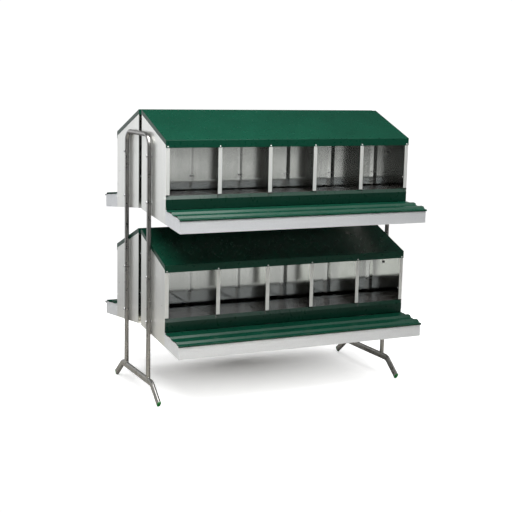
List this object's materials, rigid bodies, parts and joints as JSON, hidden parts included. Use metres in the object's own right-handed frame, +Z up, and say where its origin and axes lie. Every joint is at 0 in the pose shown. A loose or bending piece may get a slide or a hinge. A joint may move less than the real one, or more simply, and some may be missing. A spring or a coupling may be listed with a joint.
{
  "type": "roll-away nesting box",
  "caption": "Two-tier, double-sided sheet-metal roll-away nesting box with ribbed hinged egg-tray lids, on tube end frames.",
  "frame": {"origin": "on the floor, under the middle of the object", "axes": "+X along the row of nests, -Y towards the front row, +Z up"},
  "size_m": [1.5616, 1.2098, 1.5922],
  "materials": {
    "green_roof": "gloss paint",
    "green_kick_board": "gloss paint",
    "green_lid": "gloss paint",
    "galvanised_sheet": "galvanised, satin",
    "galvanised_tray": "galvanised, matt",
    "mat_plastic": "matt",
    "tube_steel": "galvanised tube",
    "cap_green": "gloss",
    "zinc_fasteners": "zinc",
    "screw_white": "zinc, pale"
  },
  "bodies": {
    "stand": {"lower_front_roof": "green_roof", "lower_front_end_panel_left": "galvanised_sheet", "lower_front_end_panel_right": "galvanised_sheet", "lower_front_dividers": "galvanised_sheet", "lower_front_back_panel": "galvanised_sheet", "lower_front_roll_out_floor": "galvanised_sheet", "lower_front_nest_mats": "mat_plastic", "lower_front_mat_rails": "galvanised_sheet", "lower_front_kick_board": "green_kick_board", "lower_front_egg_tray": "galvanised_tray", "lower_front_hinge_rod": "zinc_fasteners", "lower_front_screws": "screw_white", "lower_rear_roof": "green_roof", "lower_rear_end_panel_left": "galvanised_sheet", "lower_rear_end_panel_right": "galvanised_sheet", "lower_rear_dividers": "galvanised_sheet", "lower_rear_back_panel": "galvanised_sheet", "lower_rear_roll_out_floor": "galvanised_sheet", "lower_rear_nest_mats": "mat_plastic", "lower_rear_mat_rails": "galvanised_sheet", "lower_rear_kick_board": "green_kick_board", "lower_rear_egg_tray": "galvanised_tray", "lower_rear_hinge_rod": "zinc_fasteners", "lower_rear_screws": "screw_white", "upper_front_roof": "green_roof", "upper_front_end_panel_left": "galvanised_sheet", "upper_front_end_panel_right": "galvanised_sheet", "upper_front_dividers": "galvanised_sheet", "upper_front_back_panel": "galvanised_sheet", "upper_front_roll_out_floor": "galvanised_sheet", "upper_front_nest_mats": "mat_plastic", "upper_front_mat_rails": "galvanised_sheet", "upper_front_kick_board": "green_kick_board", "upper_front_egg_tray": "galvanised_tray", "upper_front_hinge_rod": "zinc_fasteners", "upper_front_screws": "screw_white", "upper_rear_roof": "green_roof", "upper_rear_end_panel_left": "galvanised_sheet", "upper_rear_end_panel_right": "galvanised_sheet", "upper_rear_dividers": "galvanised_sheet", "upper_rear_back_panel": "galvanised_sheet", "upper_rear_roll_out_floor": "galvanised_sheet", "upper_rear_nest_mats": "mat_plastic", "upper_rear_mat_rails": "galvanised_sheet", "upper_rear_kick_board": "green_kick_board", "upper_rear_egg_tray": "galvanised_tray", "upper_rear_hinge_rod": "zinc_fasteners", "upper_rear_screws": "screw_white", "hoop_left": "tube_steel", "hoop_right": "tube_steel", "foot_tube_left": "tube_steel", "foot_tube_right": "tube_steel", "foot_caps": "cap_green", "frame_bolts": "zinc_fasteners", "frame_spacers": "zinc_fasteners", "frame_nuts": "zinc_fasteners"},
    "lower_front_lid": {"lower_front_tray_lid": "green_lid"},
    "lower_rear_lid": {"lower_rear_tray_lid": "green_lid"},
    "upper_front_lid": {"upper_front_tray_lid": "green_lid"},
    "upper_rear_lid": {"upper_rear_tray_lid": "green_lid"}
  },
  "joints": [
    {"name": "lower_front_lid_hinge", "type": "hinge", "parent": "stand", "child": "lower_front_lid", "pos_m": [0, -0.4, 0.4177], "axis": [-1, 0, 0], "range_deg": [0, 85]},
    {"name": "lower_rear_lid_hinge", "type": "hinge", "parent": "stand", "child": "lower_rear_lid", "pos_m": [0, 0.4, 0.4177], "axis": [1, 0, 0], "range_deg": [0, 85]},
    {"name": "upper_front_lid_hinge", "type": "hinge", "parent": "stand", "child": "upper_front_lid", "pos_m": [0, -0.4, 1.0787], "axis": [-1, 0, 0], "range_deg": [0, 85]},
    {"name": "upper_rear_lid_hinge", "type": "hinge", "parent": "stand", "child": "upper_rear_lid", "pos_m": [0, 0.4, 1.0787], "axis": [1, 0, 0], "range_deg": [0, 85]}
  ]
}
